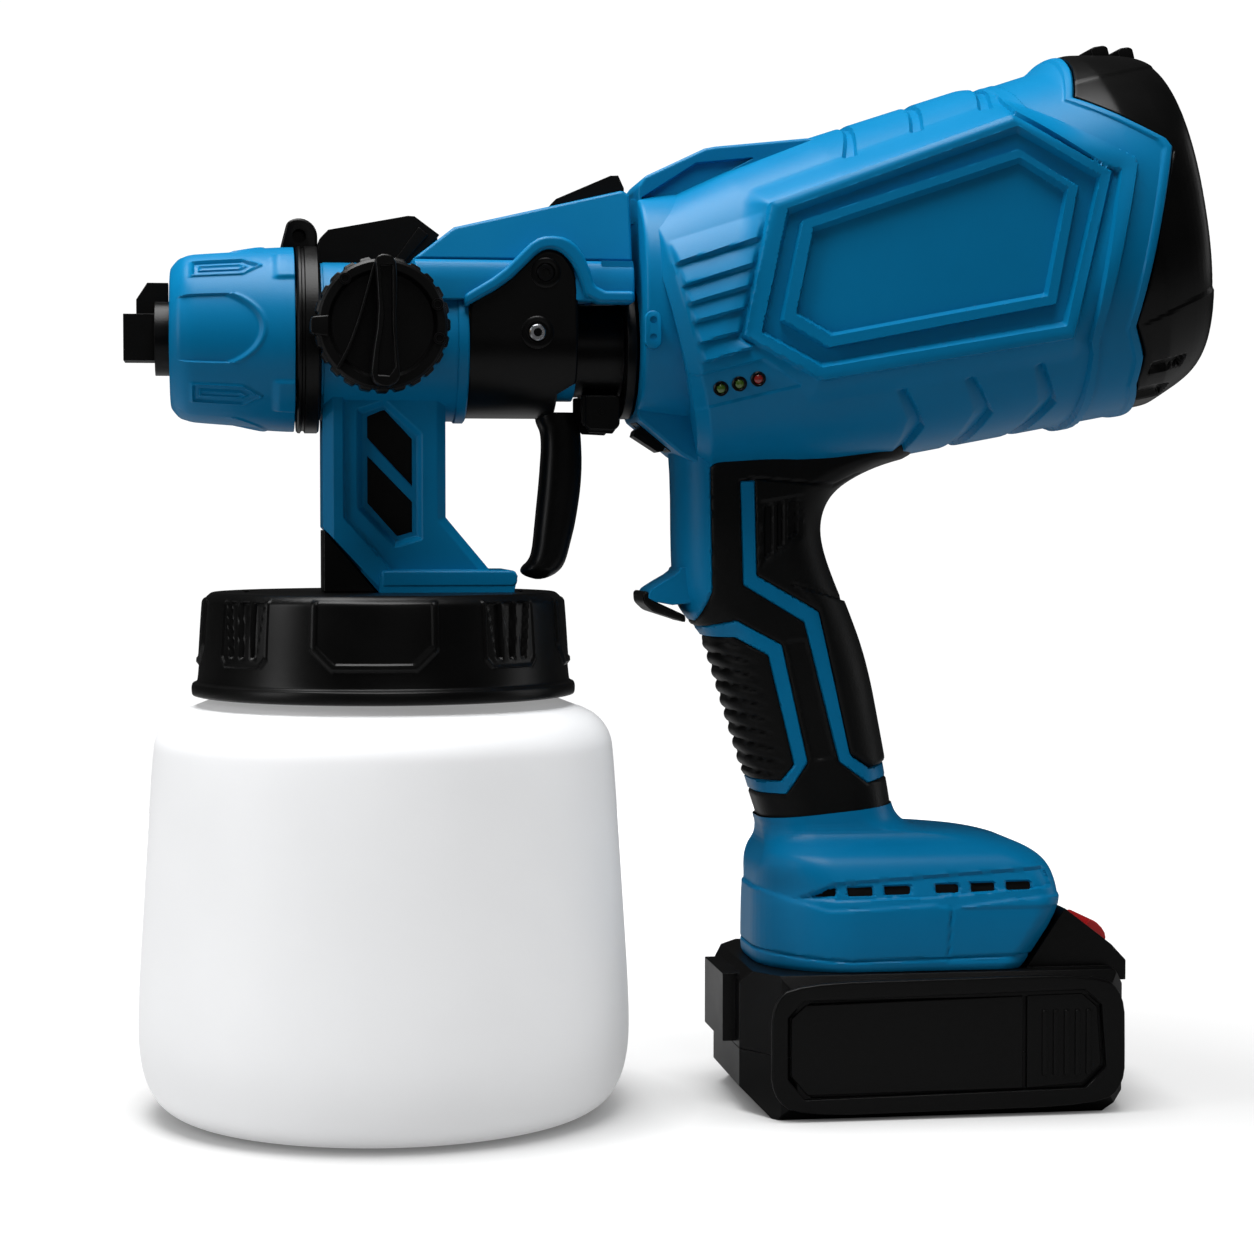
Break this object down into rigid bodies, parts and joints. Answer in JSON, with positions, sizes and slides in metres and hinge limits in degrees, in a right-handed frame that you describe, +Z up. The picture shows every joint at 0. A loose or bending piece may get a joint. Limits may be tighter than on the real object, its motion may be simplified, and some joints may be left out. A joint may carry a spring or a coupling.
{
  "type": "paint sprayer",
  "caption": "Cordless turbine paint sprayer: spray head with a hanging cup, tilted turbine body with a pistol grip, and a slide-on battery pack.",
  "frame": {"origin": "on the floor, on the cup's axis: the centre of the face that the cup stands on", "axes": "+X to the back, away from the nozzle; +Y to the right-hand side, looking along the spray; +Z up"},
  "size_m": [0.3025, 0.136, 0.296],
  "materials": {
    "blue_plastic": "satin moulded plastic",
    "black_plastic": "satin moulded plastic",
    "grip_rubber": "soft overmoulding",
    "rubber": "moulded rubber",
    "steel": "machined steel",
    "brass": "turned brass",
    "cup_plastic": "milky, see-through plastic",
    "fan_plastic": "moulded nylon",
    "filter_foam": "open foam",
    "board": "circuit board",
    "green_lamp": "clear tinted lens",
    "red_lamp": "clear tinted lens",
    "red_plastic": "moulded plastic",
    "cell_wrap": "shrink wrap",
    "wire": "insulated wire"
  },
  "bodies": {
    "turbine_body": {"housing_left": "blue_plastic", "housing_right": "blue_plastic", "inlet_socket": "black_plastic", "air_filter": "filter_foam", "fan_cover": "black_plastic", "motor_can": "steel", "bearings": "steel", "motor_mount": "rubber", "control_board": "board", "leds_green": "green_lamp", "led_red": "red_lamp", "switch_body": "black_plastic", "grip_sleeve": "grip_rubber", "grip_pad": "grip_rubber", "finger_rest": "black_plastic", "housing_screws": "steel", "power_leads": "wire", "battery_foot": "blue_plastic", "terminal_block": "black_plastic"},
    "spray_head": {"gun_body": "blue_plastic", "neck_core": "black_plastic", "front_sleeve": "black_plastic", "fluid_tip": "steel", "top_shroud": "black_plastic", "valve_gland": "brass", "pivot_screws": "steel", "needle_packing": "rubber", "inlet_tube": "black_plastic", "inlet_seal": "rubber", "latch_pin": "steel", "latch_spring": "steel", "lock_block": "black_plastic", "cup_cover": "black_plastic", "cup_gasket": "rubber", "suction_tube": "cup_plastic", "suction_filter": "brass", "pressure_valve": "rubber", "needle_spring": "steel"},
    "trigger": {"trigger": "black_plastic", "driver_screws": "steel"},
    "needle": {"needle": "steel", "needle_collar": "brass"},
    "flow_knob": {"flow_knob": "black_plastic", "valve_stem": "steel"},
    "nozzle_seal": {"nozzle_seal": "rubber"},
    "nozzle_nut": {"nozzle_nut": "blue_plastic"},
    "air_cap": {"air_cap": "black_plastic"},
    "pattern_ring": {"pattern_ring": "black_plastic"},
    "release_latch": {"release_latch": "black_plastic"},
    "cup_collar": {"cup_collar": "black_plastic"},
    "cup": {"cup": "cup_plastic"},
    "battery": {"pack_upper": "black_plastic", "pack_lower": "black_plastic", "pack_cells": "cell_wrap", "button_spring": "steel"},
    "release_button": {"release_button": "red_plastic"},
    "power_switch": {"power_switch": "black_plastic"},
    "rotor": {"impeller": "fan_plastic", "rotor_shaft": "steel"},
    "rear_cap": {"rear_cap": "black_plastic"}
  },
  "joints": [
    {"name": "head_slide", "type": "slide", "parent": "turbine_body", "child": "spray_head", "axis": [-1, 0, 0], "range_m": [0, 0.06]},
    {"name": "trigger_pull", "type": "hinge", "parent": "spray_head", "child": "trigger", "pos_m": [0.0427, 0, 0.2298], "axis": [0, -1, 0], "range_deg": [0, 10], "stiffness_Nm_per_rad": 0.6, "springref_deg": -14.32},
    {"name": "needle_slide", "type": "slide", "parent": "spray_head", "child": "needle", "axis": [1, 0, 0], "range_m": [0, 0.003], "deforming": ["needle_spring"]},
    {"name": "flow_knob_turn", "type": "hinge", "parent": "spray_head", "child": "flow_knob", "pos_m": [-0.002, -0.03, 0.214], "axis": [0, -1, 0], "range_deg": [0, 270]},
    {"name": "nut_advance", "type": "slide", "parent": "spray_head", "child": "nozzle_seal", "axis": [-1, 0, 0], "range_m": [0, 0.0063]},
    {"name": "nozzle_nut_turn", "type": "hinge", "parent": "nozzle_seal", "child": "nozzle_nut", "pos_m": [-0.04, 0, 0.2125], "axis": [-1, 0, 0], "range_deg": [0, 720]},
    {"name": "air_cap_turn", "type": "hinge", "parent": "nozzle_seal", "child": "air_cap", "pos_m": [-0.06, 0, 0.2125], "axis": [1, 0, 0], "range_deg": [0, 90]},
    {"name": "pattern_ring_turn", "type": "hinge", "parent": "spray_head", "child": "pattern_ring", "pos_m": [-0.021, 0, 0.2125], "axis": [1, 0, 0], "range_deg": [-40, 40]},
    {"name": "latch_press", "type": "hinge", "parent": "spray_head", "child": "release_latch", "pos_m": [0.057, 0, 0.2485], "axis": [0, -1, 0], "range_deg": [0, 8], "stiffness_Nm_per_rad": 0.05, "springref_deg": -11.46, "deforming": ["latch_spring"]},
    {"name": "collar_turn", "type": "hinge", "parent": "spray_head", "child": "cup_collar", "pos_m": [0, 0, 0.13], "axis": [0, 0, -1], "range_deg": [0, 270]},
    {"name": "cup_drop", "type": "slide", "parent": "spray_head", "child": "cup", "axis": [0, 0, -1], "range_m": [0, 0.16]},
    {"name": "battery_slide", "type": "slide", "parent": "turbine_body", "child": "battery", "axis": [1, 0, 0], "range_m": [0, 0.11]},
    {"name": "button_press", "type": "slide", "parent": "battery", "child": "release_button", "axis": [-0.6, 0, -0.8], "range_m": [0, 0.003], "stiffness_N_per_m": 600, "springref_m": -0.003, "deforming": ["button_spring"]},
    {"name": "switch_rock", "type": "hinge", "parent": "turbine_body", "child": "power_switch", "pos_m": [0.07507, 0, 0.18666], "axis": [0, 1, 0], "range_deg": [0, 8]},
    {"name": "rotor_spin", "type": "hinge", "parent": "turbine_body", "child": "rotor", "pos_m": [0.084, 0, 0.214], "axis": [0.9681, 0, 0.2504], "continuous": true},
    {"name": "rear_cap_pull", "type": "slide", "parent": "turbine_body", "child": "rear_cap", "axis": [0.9681, 0, 0.2504], "range_m": [0, 0.03]}
  ],
  "couplings": [
    {"joint": "needle_slide", "follows": "trigger_pull", "m_per_rad": 0.0158},
    {"joint": "nut_advance", "follows": "nozzle_nut_turn", "m_per_rad": 0.0004775}
  ]
}
